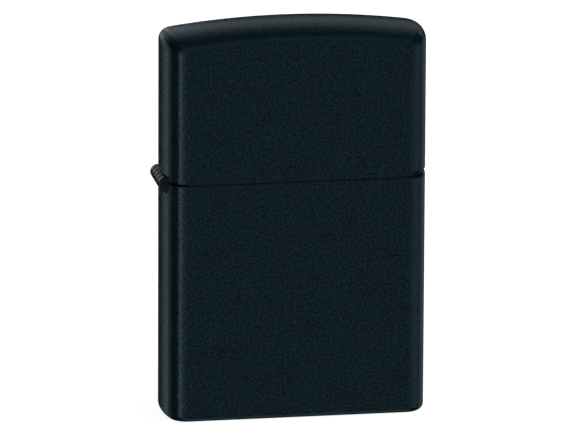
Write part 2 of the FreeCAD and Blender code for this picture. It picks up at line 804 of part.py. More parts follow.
def make_cam_spring():
    """A bent leaf under the top plate, from the flint tube to the cam's heel."""
    body = doc.addObject("PartDesign::Body", "spring_strip")
    sketch = new_sketch(body, "spring_profile", role="XZ_Plane")
    thickness = cell("spring_leaf_thickness")
    seat = cell("tube_flange_bottom") + cell("tube_flange_thickness")
    heel_angle = math.radians(cell("cam_heel_angle"))
    heel_x = cell("cam_pivot_x") + cell("cam_heel_arm") * math.cos(heel_angle)
    heel_z = cell("cam_pivot_z") + cell("cam_heel_arm") * math.sin(heel_angle)
    under_heel = heel_z - cell("cam_heel_radius") - cell("spring_heel_gap") - thickness
    trough = under_heel - cell("spring_trough_drop")
    line = [
        (cell("wheel_centre_x") + cell("spring_tube_lap"), seat),
        (cell("spring_slope_start_x"), seat),
        (cell("spring_slope_end_x"), trough),
        (heel_x + cell("spring_ramp_length"), trough),
        (heel_x, under_heel),
        (heel_x - cell("spring_lip_length"), under_heel + cell("spring_lip_rise")),
    ]
    lower = [FreeCAD.Vector(x, z, 0) for x, z in line]
    upper = [FreeCAD.Vector(x, z + thickness, 0) for x, z in reversed(line)]
    corners = lower + upper
    for number, corner in enumerate(corners):
        following = corners[(number + 1) % len(corners)]
        sketch.addGeometry(Part.LineSegment(corner, following), False)
        constrain(sketch, "Block", number)
    pad = body.newObject("PartDesign::Pad", "spring_pad")
    pad.Profile = sketch
    pad.Midplane = True
    bind(pad, {"Length": "2 * <spring_leaf_half_width>"})
    doc.recompute()
    wick_gap = upright_hole(
        "spring_wick_gap", "<wick_hole_radius> + <spring_wick_clearance>", "<wick_x>",
    )
    tube_gap = upright_hole(
        "spring_tube_gap", "<tube_outer_radius> + <spring_tube_clearance>", "<wheel_centre_x>",
    )
    sides = [
        block(
            f"spring_side_{side}",
            "-<body_width> / 2", low_y, "0",
            "<body_width> / 2 + <spring_tongue_end_x>", "<spring_leaf_half_width>",
            "<insert_top>",
        )
        for side, low_y in (
            ("front", "-<spring_tongue_half_width> - <spring_leaf_half_width>"),
            ("back", "<spring_tongue_half_width>"),
        )
    ]
    return finish_part(cut("cam_spring", body, wick_gap, tube_gap, *sides), "cam_spring")


# ---------------------------------------------------------------- chimney


def make_chimney():
    """The perforated windguard: open at the top and towards the wheel, which its ears carry."""
    body = doc.addObject("PartDesign::Body", "chimney_body")
    sketch = new_sketch(body, "chimney_plan", lift="<insert_top>")
    wall = cell("chimney_wall")
    left, right = cell("chimney_left"), cell("chimney_right")
    deep = cell("chimney_half_depth")
    ear_inside = cell("wheel_ear_half_gap")
    ear_start, ear_end = cell("wheel_ear_start_x"), cell("wheel_ear_end_x")
    bend_shift = wall * BEND_SHIFT_SHARE
    outside = [
        (ear_end, -ear_inside - wall),
        (ear_start, -ear_inside - wall),
        (right, -deep),
        (left, -deep),
    ]
    inside = [
        (left + wall, -deep + wall),
        (right - bend_shift, -deep + wall),
        (ear_start - bend_shift, -ear_inside),
        (ear_end, -ear_inside),
    ]
    ring = outside + [(x, -y) for x, y in reversed(outside)]
    ring += [(x, -y) for x, y in reversed(inside)] + inside
    points = [FreeCAD.Vector(x, y, 0) for x, y in ring]
    for number, point in enumerate(points):
        following = points[(number + 1) % len(points)]
        sketch.addGeometry(Part.LineSegment(point, following), False)
        constrain(sketch, "Block", number)
    pad = body.newObject("PartDesign::Pad", "chimney_pad")
    pad.Profile = sketch
    bind(pad, {"Length": "<chimney_height>"})
    doc.recompute()
    round_edges(
        body, "chimney_outer_corners",
        lambda box: box.XMax < left + EDGE_TOLERANCE and box.ZLength > deep,
        "<chimney_corner_radius>",
    )
    round_edges(
        body, "chimney_inner_corners",
        lambda box: abs(box.XMin - left - wall) < EDGE_TOLERANCE
        and box.XLength < EDGE_TOLERANCE and box.YLength < EDGE_TOLERANCE and box.ZLength > deep,
        "<chimney_corner_radius> - <chimney_wall>",
    )
    above_ears = block(
        "above_wheel_ears",
        "<chimney_right> + <chimney_top_step>", "-<body_depth> / 2",
        "<wheel_centre_z> + <wheel_ear_half_height>",
        "<body_width> / 2", "<body_depth>", "<chimney_height>",
    )
    below_ears = block(
        "below_wheel_ears",
        "<wheel_centre_x> + <wheel_ear_foot_reach>", "-<body_depth> / 2",
        f"<insert_top> - {OVERRUN}",
        "<body_width> / 4", "<body_depth>",
        f"<wheel_centre_z> - <wheel_ear_half_height> - <insert_top> + {OVERRUN}",
    )
    holes = []
    for row, columns in enumerate(AIR_HOLE_ROWS):
        for column in range(columns):
            shift = column - (columns - 1) / 2
            holes.append(cross_hole(
                f"air_hole_{row}_{column}", "<air_hole_radius>",
                f"<air_hole_centre_x> + ({shift}) * <air_hole_pitch_x>",
                f"<air_hole_centre_z> + ({1 - row}) * <air_hole_pitch_z>",
            ))
    rivet_hole = cross_hole(
        "wheel_rivet_hole", "<wheel_rivet_radius>", "<wheel_centre_x>", "<wheel_centre_z>",
    )
    pierced = cut(
        "chimney", body, above_ears, below_ears, fuse("air_holes", *holes), rivet_hole,
    )
    return finish_part(pierced, "chimney")


# ---------------------------------------------------------------- flint wheel and feed


def make_flint_wheel():
    """A wheel whose rim is cut with straight teeth across its width."""
    body = doc.addObject("PartDesign::Body", "wheel_body")
    radius = cell("wheel_radius")
    depth = cell("wheel_tooth_depth")
    disc_sketch = new_sketch(body, "wheel_disc", role="XZ_Plane")
    disc_sketch.addGeometry([
        Part.Circle(FreeCAD.Vector(0, 0, 0), FreeCAD.Vector(0, 0, 1), radius),
        Part.Circle(FreeCAD.Vector(0, 0, 0), FreeCAD.Vector(0, 0, 1), cell("wheel_bore_radius")),
    ], False)
    constrain(disc_sketch, "Coincident", 0, 3, -1, 1)
    constrain(disc_sketch, "Coincident", 1, 3, -1, 1)
    constrain(disc_sketch, "Radius", 0, radius, expression="<wheel_radius>")
    constrain(disc_sketch, "Radius", 1, cell("wheel_bore_radius"), expression="<wheel_bore_radius>")
    pad = body.newObject("PartDesign::Pad", "wheel_pad")
    pad.Profile = disc_sketch
    pad.Midplane = True
    bind(pad, {"Length": "<wheel_thickness>"})
    doc.recompute()
    half_pitch = math.pi * radius / cell("wheel_tooth_count")
    half_gap = half_pitch * cell("wheel_tooth_gap_share")
    mouth = radius + cell("wheel_tooth_overcut")
    tooth_sketch = new_sketch(body, "wheel_tooth_gap", role="XZ_Plane")
    corners = [
        FreeCAD.Vector(-half_gap, mouth, 0),
        FreeCAD.Vector(half_gap, mouth, 0),
        FreeCAD.Vector(0, radius - depth, 0),
    ]
    for number, corner in enumerate(corners):
        tooth_sketch.addGeometry(Part.LineSegment(corner, corners[(number + 1) % 3]), False)
        constrain(tooth_sketch, "Block", number)
    gap = body.newObject("PartDesign::Pocket", "wheel_gap")
    gap.Profile = tooth_sketch
    gap.Midplane = True
    bind(gap, {"Length": f"<wheel_thickness> + {2 * OVERRUN}"})
    doc.recompute()
    pattern = body.newObject("PartDesign::PolarPattern", "wheel_teeth")
    pattern.Originals = [gap]
    pattern.Axis = (disc_sketch, ["N_Axis"])
    pattern.Angle = 360.0
    bind(pattern, {"Occurrences": "<wheel_tooth_count>"})
    body.Tip = pattern
    doc.recompute()
    bind(body, {
        ".Placement.Base.x": "<wheel_centre_x>",
        ".Placement.Base.z": "<wheel_centre_z>",
    })
    return finish_part(body, "flint_wheel")


def make_flint_feed():
    """The tube under the wheel and what it holds, from the flint down to the screw."""
    x = "<wheel_centre_x>"
    tube = fuse(
        "flint_tube",
        upright_cylinder(
            "tube_wall", "<tube_outer_radius>", "<tube_top> - <tube_bottom>", x, "<tube_bottom>",
        ),
        upright_cylinder(
            "tube_flange", "<tube_flange_radius>", "<tube_flange_thickness>", x,
            "<tube_flange_bottom>",
        ),
    )
    tube_bore = upright_hole("tube_bore", "<tube_inner_radius>", x)
    finish_part(cut("flint_tube", tube, tube_bore), "flint_tube")

    flint_bottom = "<flint_top> - <flint_length>"
    flint = upright_cylinder("flint_rod", "<flint_radius>", "<flint_length>", x, flint_bottom)
    finish_part(flint, "flint")

    tip_bottom = f"{flint_bottom} - <tip_head_height>"
    tip = fuse(
        "flint_spring_tip",
        upright_cylinder("tip_head", "<flint_radius>", "<tip_head_height>", x, tip_bottom),
        upright_cylinder(
            "tip_stem", "<tip_stem_radius>", "<tip_stem_length>", x,
            f"{tip_bottom} - <tip_stem_length>",
        ),
    )
    finish_part(tip, "flint_spring_tip")

    screw = fuse(
        "flint_screw",
        upright_cylinder(
            "screw_head", "<screw_head_radius>", "<screw_head_height>", x,
            "<tube_bottom> - <screw_head_height>",
        ),
        upright_cylinder(
            "screw_shank", "<screw_shank_radius>", "<screw_shank_length>", x, "<tube_bottom>",
        ),
    )
    slot = block(
        "screw_slot",
        f"<wheel_centre_x> - <screw_head_radius> - {OVERRUN}", "-<screw_slot_width> / 2",
        f"<tube_bottom> - <screw_head_height> - {OVERRUN}",
        f"2 * (<screw_head_radius> + {OVERRUN})", "<screw_slot_width>",
        f"<screw_slot_depth> + {OVERRUN}",
    )
    finish_part(cut("flint_screw", screw, slot), "flint_screw")

    wire = cell("coil_wire_radius")
    end_gap = wire + cell("coil_end_gap")
    coil_bottom = cell("tube_bottom") + cell("screw_shank_length") + end_gap
    coil_top = cell("flint_top") - cell("flint_length") - cell("tip_head_height") - end_gap
    height = coil_top - coil_bottom
    helix = Part.makeHelix(height / cell("coil_turns"), height, cell("coil_mean_radius"))
    section = Part.Wire(Part.makeCircle(
        wire, FreeCAD.Vector(cell("coil_mean_radius"), 0, 0), FreeCAD.Vector(0, 1, 0),
    ))
    coil = doc.addObject("Part::Feature", "coil")
    coil.Shape = Part.Wire(helix).makePipeShell([section], True, True)
    coil.Placement.Base = FreeCAD.Vector(cell("wheel_centre_x"), 0, coil_bottom)
    finish_part(coil, "flint_spring")


# ---------------------------------------------------------------- wick, packing and felt


def rounded_route(points):
    """Straight runs joined by tangent arcs, each arc as large as its two runs allow."""
    edges = []
    start = points[0]
    for before, corner, after in zip(points, points[1:], points[2:]):
        back = (before - corner).normalize()
        ahead = (after - corner).normalize()
        half_turn = (math.pi - back.getAngle(ahead)) / 2
        shorter = min((before - corner).Length, (after - corner).Length)
        reach = ARC_SHARE * shorter
        radius = reach / math.tan(half_turn)
        print("wick arc radius", round(radius, 2))
        enter = corner + back * reach
        leave = corner + ahead * reach
        inward = (back + ahead).normalize()
        middle = corner + inward * (radius / math.cos(half_turn) - radius)
        edges.append(Part.LineSegment(start, enter).toShape())
        edges.append(Part.Arc(enter, middle, leave).toShape())
        start = leave
    edges.append(Part.LineSegment(start, points[-1]).toShape())
    return Part.Wire(edges)


# The wick's bends under the top plate: how far each stands sideways from the wick's top, and its height.
WICK_BENDS = [
    (0.0, 30.0),
    (-2.6, 21.0),
    (1.0, 13.0),
    (-0.4, 5.6),
]


def make_wick():
    """The wick from the chimney down through the packing, in one long S."""
    x, top = cell("wick_x"), cell("wick_top")
    route = rounded_route([
        FreeCAD.Vector(x + aside, 0, height) for aside, height in [(0.0, top)] + WICK_BENDS
    ])
    section = Part.Wire(Part.makeCircle(
        cell("wick_radius"), FreeCAD.Vector(x, 0, top), FreeCAD.Vector(0, 0, -1),
    ))
    rope = doc.addObject("Part::Feature", "wick_rope")
    rope.Shape = route.makePipeShell([section], True, False)
    expected = math.pi * cell("wick_radius") ** 2 * route.Length
    print("wick volume over section times length", round(rope.Shape.Volume / expected, 4))
    return finish_part(rope, "wick")


# Each packing ball fills one pocket beside the wick: low x, low z, high x, high z.
PACKING_POCKETS = [
    (-15.4, 24.8, -4.4, 31.2),
    (-15.4, 15.6, -5.3, 24.2),
    (-15.4, 5.2, -3.2, 15.0),
    (1.2, 19.4, 7.9, 31.2),
    (2.2, 5.2, 7.9, 18.8),
]


def make_packing():
    for number, (low_x, low_z, high_x, high_z) in enumerate(PACKING_POCKETS, start=1):
        body = doc.addObject("PartDesign::Body", f"packing_body_{number}")
        sketch = new_sketch(body, f"packing_outline_{number}", role="XZ_Plane")
        corners = [
            FreeCAD.Vector(low_x, low_z, 0), FreeCAD.Vector(high_x, low_z, 0),
            FreeCAD.Vector(high_x, high_z, 0), FreeCAD.Vector(low_x, high_z, 0),
        ]
        for edge, corner in enumerate(corners):
            sketch.addGeometry(Part.LineSegment(corner, corners[(edge + 1) % 4]), False)
            constrain(sketch, "Block", edge)
        pad = body.newObject("PartDesign::Pad", f"packing_pad_{number}")
        pad.Profile = sketch
        pad.Midplane = True
        bind(pad, {"Length": "2 * <packing_half_depth>"})
        doc.recompute()
        round_edges(body, f"packing_round_{number}", lambda box: True, "<packing_radius>")
        finish_part(body, f"packing_ball_{number}")


def make_felt_pad():
    pad = outline_body(
        "felt_body", INSERT_PLAN, "<felt_bottom>", "<felt_thickness>",
        inset="<insert_wall> + <felt_margin>",
    )
    place_insert(pad)
    hole = upright_hole("felt_screw_hole", "<felt_screw_hole_radius>", "<wheel_centre_x>")
    return finish_part(cut("felt_pad", pad, hole), "felt_pad")


# ---------------------------------------------------------------- assembly and export


make_case_bottom()
make_lid()
make_hinge()
make_insert_shell()
make_top_plate()
make_cam()
rivet(
    "cam_rivet", "<cam_rivet_radius>", "<cam_rivet_head_radius>",
    "<cam_slot_half_width> + <cam_ear_thickness>", "<cam_pivot_x>", "<cam_pivot_z>",
)
make_cam_spring()
make_chimney()
make_flint_wheel()
rivet(
    "flint_wheel_rivet", "<wheel_rivet_radius>", "<wheel_rivet_head_radius>",
    "<wheel_ear_half_gap> + <chimney_wall>", "<wheel_centre_x>", "<wheel_centre_z>",
)
make_flint_feed()
make_wick()
make_packing()
make_felt_pad()
doc.recompute()

failed = [
    item.Name for item in doc.Objects if "Invalid" in item.State or "Error" in item.State
]
if failed:
    raise RuntimeError(f"objects that did not compute: {failed}")
for part in finished_parts:
    if part.Shape.isNull() or not part.Shape.isValid() or not part.Shape.Solids:
        raise RuntimeError(f"sub-part with no valid solid: {part.Label}")

os.makedirs("parts", exist_ok=True)
for part in finished_parts:
    part.Shape.exportStep(f"parts/{part.Label}.step")
    print(f"{part.Label:20s} {len(part.Shape.Solids)} solid, {part.Shape.Volume:9.2f} mm3")
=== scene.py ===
import math
import random

import bmesh
import bpy
import numpy as np
from mathutils import Matrix, Vector, noise


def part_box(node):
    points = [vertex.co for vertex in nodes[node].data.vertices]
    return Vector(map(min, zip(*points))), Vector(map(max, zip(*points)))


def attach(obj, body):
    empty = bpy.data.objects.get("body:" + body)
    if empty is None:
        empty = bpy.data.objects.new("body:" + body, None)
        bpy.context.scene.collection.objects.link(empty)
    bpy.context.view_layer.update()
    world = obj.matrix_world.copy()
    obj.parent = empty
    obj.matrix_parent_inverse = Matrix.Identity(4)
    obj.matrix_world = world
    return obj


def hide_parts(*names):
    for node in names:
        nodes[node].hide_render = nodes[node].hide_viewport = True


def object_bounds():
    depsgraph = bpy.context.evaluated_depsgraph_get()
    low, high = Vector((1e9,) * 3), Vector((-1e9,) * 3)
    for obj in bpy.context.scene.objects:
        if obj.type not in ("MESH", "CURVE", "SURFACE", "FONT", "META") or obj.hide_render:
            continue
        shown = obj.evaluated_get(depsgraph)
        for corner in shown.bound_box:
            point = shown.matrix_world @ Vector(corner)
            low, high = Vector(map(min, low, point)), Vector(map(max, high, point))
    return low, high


# Flip-top pocket lighter, lid closed. Lengths are metres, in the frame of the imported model: +Z up, the
# hinge on the -X side, the broad faces looking along -Y and +Y, and the base at z = 0.

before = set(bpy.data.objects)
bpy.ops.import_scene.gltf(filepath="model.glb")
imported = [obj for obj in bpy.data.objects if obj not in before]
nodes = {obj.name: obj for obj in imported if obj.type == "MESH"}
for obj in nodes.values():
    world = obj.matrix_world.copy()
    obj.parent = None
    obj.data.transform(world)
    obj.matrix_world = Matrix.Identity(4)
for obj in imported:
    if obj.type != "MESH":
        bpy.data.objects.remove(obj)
cad_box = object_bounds()

MM = 0.001
SEED = 7
# Most of a noise texture's values lie between these two.
NOISE_SPAN = (0.3, 0.7)


# ------------------------------------------------------------------ node helpers


def add_node(tree, kind, inputs=None, **settings):
    """A new node. A value in inputs is another node's output to link, or a plain value to set."""
    node = tree.nodes.new(kind)
    for key, value in settings.items():
        setattr(node, key, value)
    for key, value in (inputs or {}).items():
        if isinstance(value, bpy.types.NodeSocket):
            tree.links.new(value, node.inputs[key])
        else:
            node.inputs[key].default_value = value
    return node


def new_material(name):
    """A material with an empty tree but for its output, and the object's own coordinates."""
    material = bpy.data.materials.new(name)
    material.use_nodes = True
    tree = material.node_tree
    tree.nodes.clear()
    output = add_node(tree, "ShaderNodeOutputMaterial")
    coords = add_node(tree, "ShaderNodeTexCoord")
    return material, tree, output, coords


def math_node(tree, operation, first, second=0.0, clamp=False):
    """The result of a two-input Math node."""
    return add_node(
        tree, "ShaderNodeMath", {0: first, 1: second}, operation=operation, use_clamp=clamp,
    ).outputs[0]


def grain(tree, vector, size, detail=3.0, roughness=0.55, stretch=(1.0, 1.0, 1.0)):
    """Noise from 0 to 1 whose spots are about size across, drawn out along the axes by stretch."""
    scaled = add_node(
        tree, "ShaderNodeMapping", {"Vector": vector, "Scale": [1.0 / s for s in stretch]},
    ).outputs[0]
    return add_node(
        tree, "ShaderNodeTexNoise",
        {"Vector": scaled, "Scale": 1.0 / size, "Detail": detail, "Roughness": roughness},
    ).outputs["Fac"]


def remap(tree, value, low, high, to_low, to_high):
    """value between low and high becomes to_low to to_high, and stays within them."""
    return add_node(
        tree, "ShaderNodeMapRange",
        {"Value": value, "From Min": low, "From Max": high, "To Min": to_low, "To Max": to_high},
    ).outputs[0]


def spread(tree, noise_value, to_low, to_high):
    """A noise's usual range drawn out to run from to_low to to_high."""
    return remap(tree, noise_value, *NOISE_SPAN, to_low, to_high)


def mix_colour(tree, factor, first, second):
    """A blend of two colours, each an output or three numbers."""
    def full(colour):
        return colour if isinstance(colour, bpy.types.NodeSocket) else (*colour, 1.0)

    node = add_node(tree, "ShaderNodeMix", data_type="RGBA")
    for name, value in (("Factor_Float", factor), ("A_Color", full(first)), ("B_Color", full(second))):
        socket = next(s for s in node.inputs if s.identifier == name)
        if isinstance(value, bpy.types.NodeSocket):
            tree.links.new(value, socket)
        else:
            socket.default_value = value
    return next(s for s in node.outputs if s.identifier == "Result_Color")


def bump(tree, height, distance, strength=1.0):
    """A normal from a height of 0 to 1 that stands for distance metres."""
    return add_node(
        tree, "ShaderNodeBump", {"Height": height, "Distance": distance, "Strength": strength},
    ).outputs[0]


def principled(tree, output, **sockets):
    """The material's one shader, with its sockets by their names."""
    shader = add_node(
        tree, "ShaderNodeBsdfPrincipled",
        {name.replace("_", " "): value for name, value in sockets.items()},
    )
    tree.links.new(shader.outputs[0], output.inputs["Surface"])
    return shader


# ------------------------------------------------------------------ materials

COAT_DARK = (0.0, 0.0006, 0.0018)
COAT_LIGHT = (0.0040, 0.0345, 0.0485)
COAT_GLOSS = (0.70, 0.895, 1.0, 1.0)
# The coat's grain and its faint clouds: their sizes, the grain's share of the tone, the tones at which
# the darkest and the lightest colours are reached, and the height of the grain.
COAT_GRAIN = 0.34 * MM
COAT_CLOUD = 2.6 * MM
COAT_GRAIN_SHARE = 0.88
COAT_TONE_SPAN = (0.42, 0.58)
COAT_RELIEF = 0.13 * MM
# As the grain runs over the first of these, the coat's roughness runs over the second.
COAT_ROUGHNESS_SPAN = (0.35, 0.65)
COAT_ROUGHNESS = (0.17, 0.31)
# The grain fades from full to COAT_CORNER_GRAIN as the size of the normal's part along Y falls from the
# second of these to the first.
COAT_FLAT_SPAN = (0.93, 0.995)
COAT_CORNER_GRAIN = 0.25
BRASS = (0.60, 0.42, 0.17)
BRASS_STAINED = (0.42, 0.27, 0.11)
BRASS_STAIN = 3.0 * MM
BRASS_STAIN_SPAN = (0.35, 0.75)
BRASS_LINE = 0.05 * MM
BRASS_LINE_STRETCH = (1.0, 1.0, 40.0)
BRASS_ROUGHNESS = (0.26, 0.42)
STEEL = (0.56, 0.56, 0.55)
TARNISH = 4.0 * MM
TARNISH_SPAN = (0.4, 0.75)
METAL_RELIEF = 0.004 * MM
# Brushed metal's roughness varies between these shares of its middle value.
METAL_ROUGHNESS_SHARES = (0.8, 1.3)
HINGE_BLACK = (0.003, 0.005, 0.006)
HINGE_WORN = (0.045, 0.05, 0.055)
HINGE_WEAR = 0.25 * MM
HINGE_WEAR_SPAN = (0.5, 0.72)
HINGE_ROUGHNESS = (0.18, 0.32)
HINGE_RELIEF = 0.006 * MM
FLINT_DARK = (0.10, 0.09, 0.085)
FLINT_LIGHT = (0.27, 0.255, 0.24)
FLINT_GRAIN = 0.12 * MM
FLINT_ROUGHNESS = (0.45, 0.65)
FLINT_RELIEF = 0.02 * MM
# A fibre's slow change of tone is this many times as long as its strands are wide.
FIBRE_DRIFT = 12
FIBRE_DRIFT_SPAN = (0.4, 0.8)
FIBRE_DRIFT_DEPTH = 0.4
FIBRE_ROUGHNESS = (0.85, 1.0)


def powder_coat(name, middle_z):
    """Matt black powder coat outside and bare brushed brass inside.

    A face is an inner one where its normal points towards the shell's middle, at middle_z.
    """
    material, tree, output, coords = new_material(name)
    place, facing = coords.outputs["Object"], coords.outputs["Normal"]
    outwards = add_node(
        tree, "ShaderNodeVectorMath", {0: place, 1: (0.0, 0.0, middle_z)}, operation="SUBTRACT",
    ).outputs[0]
    side = add_node(
        tree, "ShaderNodeVectorMath", {0: outwards, 1: facing}, operation="DOT_PRODUCT",
    ).outputs["Value"]
    inside = math_node(tree, "LESS_THAN", side, 0.0)

    speckle = grain(tree, place, COAT_GRAIN, detail=2.0, roughness=0.65)
    cloud = grain(tree, place, COAT_CLOUD, detail=2.0)
    tone = math_node(
        tree, "ADD",
        math_node(tree, "MULTIPLY", speckle, COAT_GRAIN_SHARE),
        math_node(tree, "MULTIPLY", cloud, 1.0 - COAT_GRAIN_SHARE),
    )
    # The grain is full on the broad faces and faint on the drawn corners and ends.
    across = add_node(tree, "ShaderNodeSeparateXYZ", {0: facing}).outputs["Y"]
    flatness = remap(
        tree, math_node(tree, "ABSOLUTE", across), *COAT_FLAT_SPAN, COAT_CORNER_GRAIN, 1.0,
    )
    swing = math_node(tree, "MULTIPLY", remap(tree, tone, *COAT_TONE_SPAN, -0.5, 0.5), flatness)
    coat = mix_colour(tree, math_node(tree, "ADD", swing, 0.5), COAT_DARK, COAT_LIGHT)

    lines = grain(tree, place, BRASS_LINE, detail=2.0, stretch=BRASS_LINE_STRETCH)
    stain = grain(tree, place, BRASS_STAIN, detail=4.0)
    stained = remap(tree, stain, *BRASS_STAIN_SPAN, 0.0, 1.0)
    brass = mix_colour(tree, stained, BRASS, BRASS_STAINED)

    colour = mix_colour(tree, inside, coat, brass)
    coat_roughness = remap(tree, speckle, *COAT_ROUGHNESS_SPAN, *COAT_ROUGHNESS)
    brass_roughness = spread(tree, lines, *BRASS_ROUGHNESS)
    roughness = add_node(
        tree, "ShaderNodeMix", {0: inside, 2: coat_roughness, 3: brass_roughness},
    ).outputs[0]
    relief = add_node(tree, "ShaderNodeMix", {0: inside, 2: speckle, 3: lines}).outputs[0]
    principled(
        tree, output,
        Base_Color=colour, Roughness=roughness, Metallic=inside,
        Specular_Tint=COAT_GLOSS, Normal=bump(tree, relief, COAT_RELIEF, flatness),
    )
    return material


def brushed_metal(name, colour, roughness, along=(1.0, 1.0, 30.0), stain=0.75, line=0.06 * MM):
    """Metal with fine lines drawn out along one axis and a faint uneven tarnish."""
    material, tree, output, coords = new_material(name)
    place = coords.outputs["Object"]
    lines = grain(tree, place, line, detail=3.0, stretch=along)
    patches = grain(tree, place, TARNISH, detail=4.0)
    darker = [channel * stain for channel in colour]
    tone = mix_colour(tree, remap(tree, patches, *TARNISH_SPAN, 0.0, 1.0), colour, darker)
    least, most = [roughness * share for share in METAL_ROUGHNESS_SHARES]
    principled(
        tree, output,
        Base_Color=tone, Metallic=1.0,
        Roughness=spread(tree, lines, least, most),
        Normal=bump(tree, lines, METAL_RELIEF),
    )
    return material


def plated_black(name):
    """Smooth black finish of the hinge, a little worn in patches."""
    material, tree, output, coords = new_material(name)
    place = coords.outputs["Object"]
    scuffs = grain(tree, place, HINGE_WEAR, detail=5.0, roughness=0.7)
    worn = remap(tree, scuffs, *HINGE_WEAR_SPAN, 0.0, 1.0)
    principled(
        tree, output,
        Base_Color=mix_colour(tree, worn, HINGE_BLACK, HINGE_WORN), Metallic=0.0,
        Roughness=spread(tree, scuffs, *HINGE_ROUGHNESS),
        Normal=bump(tree, scuffs, HINGE_RELIEF),
    )
    return material


def flint_alloy(name):
    """Dull pressed flint: dark grey, granular."""
    material, tree, output, coords = new_material(name)
    place = coords.outputs["Object"]
    grains = grain(tree, place, FLINT_GRAIN, detail=4.0, roughness=0.7)
    tone = mix_colour(tree, spread(tree, grains, 0.0, 1.0), FLINT_DARK, FLINT_LIGHT)
    principled(
        tree, output,
        Base_Color=tone, Metallic=0.7, Roughness=spread(tree, grains, *FLINT_ROUGHNESS),
        Normal=bump(tree, grains, FLINT_RELIEF),
    )
    return material


def fibre(name, dark, light, size, relief, sheen=0.3):
    """Cotton, wadding or felt: fine tangled fibres with a soft sheen."""
    material, tree, output, coords = new_material(name)
    place = coords.outputs["Object"]
    strands = grain(tree, place, size, detail=5.0, roughness=0.7)
    drift = grain(tree, place, FIBRE_DRIFT * size, detail=2.0)
    tone = mix_colour(tree, spread(tree, strands, 0.0, 1.0), dark, light)
    drifted = remap(tree, drift, *FIBRE_DRIFT_SPAN, 0.0, FIBRE_DRIFT_DEPTH)
    principled(
        tree, output,
        Base_Color=mix_colour(tree, drifted, tone, dark),
        Roughness=spread(tree, strands, *FIBRE_ROUGHNESS),
        Sheen_Weight=sheen, Sheen_Roughness=0.5,
        Normal=bump(tree, strands, relief),
    )
    return material


def node_middle_z(name):
    low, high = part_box(name)
    return (low.z + high.z) / 2


def set_material(obj, material):
    """Every face of the object wears this one material."""
    obj.data.materials.clear()
    obj.data.materials.append(material)


materials = {
    "coat_lower": powder_coat("powder_coat_case", node_middle_z("case_bottom")),
    "coat_lid": powder_coat("powder_coat_lid", node_middle_z("lid")),
    "hinge": plated_black("hinge_black"),
    "shell_steel": brushed_metal("insert_steel", STEEL, 0.26),
    "chimney_steel": brushed_metal("chimney_steel", (0.60, 0.60, 0.59), 0.30, along=(30.0, 30.0, 1.0)),
    "turned_steel": brushed_metal("rivet_steel", (0.52, 0.52, 0.52), 0.24, along=(1.0, 1.0, 1.0)),
    "spring_steel": brushed_metal("spring_steel", (0.42, 0.42, 0.43), 0.3, along=(25.0, 1.0, 1.0)),
    "tool_steel": brushed_metal("wheel_steel", (0.20, 0.20, 0.205), 0.38, along=(1.0, 20.0, 1.0)),
    "brass": brushed_metal("turned_brass", BRASS, 0.28, along=(20.0, 20.0, 1.0)),
    "flint": flint_alloy("flint_alloy"),
    "cotton": fibre("wick_cotton", (0.52, 0.47, 0.37), (0.86, 0.82, 0.72), 0.05 * MM, 0.02 * MM),
    "wadding": fibre("packing_cotton", (0.68, 0.66, 0.62), (0.93, 0.92, 0.9), 0.09 * MM, 0.05 * MM),
    "felt": fibre("felt_wool", (0.42, 0.40, 0.35), (0.72, 0.69, 0.62), 0.1 * MM, 0.06 * MM),
}

NODE_MATERIALS = {
    "case_bottom": "coat_lower",
    "lid": "coat_lid",
    "hinge_lower_leaf": "hinge",
    "hinge_upper_leaf": "hinge",
    "hinge_pin": "hinge",
    "insert_shell": "shell_steel",
    "insert_top_plate": "shell_steel",
    "chimney": "chimney_steel",
    "cam": "turned_steel",
    "cam_rivet": "turned_steel",
    "cam_spring": "spring_steel",
    "flint_wheel": "tool_steel",
    "flint_wheel_rivet": "turned_steel",
    "flint_tube": "brass",
    "flint": "flint",
    "flint_spring_tip": "brass",
    "flint_spring": "spring_steel",
    "flint_screw": "brass",
    "wick": "cotton",
    "felt_pad": "felt",
}
PACKING_NODES = [f"packing_ball_{number}" for number in range(1, 6)]
for packing_node in PACKING_NODES:
    NODE_MATERIALS[packing_node] = "wadding"
for node_name, material_name in NODE_MATERIALS.items():
    set_material(nodes[node_name], materials[material_name])


# ------------------------------------------------------------------ mesh helpers


def unit(vectors):
    """Each row scaled to length one."""
    return vectors / np.linalg.norm(vectors, axis=1, keepdims=True)


class Shell:
    """Vertices and faces gathered from many strands or rings, made into one object at the end."""

    def __init__(self):
        self.vertices = []
        self.faces = []

    def add(self, points, faces):
        first = len(self.vertices)
        self.vertices.extend(map(tuple, points))
        self.faces.extend([tuple(first + corner for corner in face) for face in faces])

    def make(self, name, material, smooth=True):
        mesh = bpy.data.meshes.new(name)
        mesh.from_pydata(self.vertices, [], self.faces)
        mesh.validate()
        tidy = bmesh.new()
        tidy.from_mesh(mesh)
        bmesh.ops.recalc_face_normals(tidy, faces=tidy.faces)
        tidy.to_mesh(mesh)
        tidy.free()
        mesh.polygons.foreach_set("use_smooth", [smooth] * len(mesh.polygons))
        piece = bpy.data.objects.new(name, mesh)
        bpy.context.collection.objects.link(piece)
        set_material(piece, material)
        return piece


def grid_faces(rows, columns, close_rows=False):
    """Quads between neighbouring rows of points; each row is a closed ring of columns points."""
    faces = []
    for row in range(rows if close_rows else rows - 1):
        following = (row + 1) % rows
        for column in range(columns):
            beside = (column + 1) % columns
            faces.append((
                row * columns + column, row * columns + beside,
                following * columns + beside, following * columns + column,
            ))
    return faces


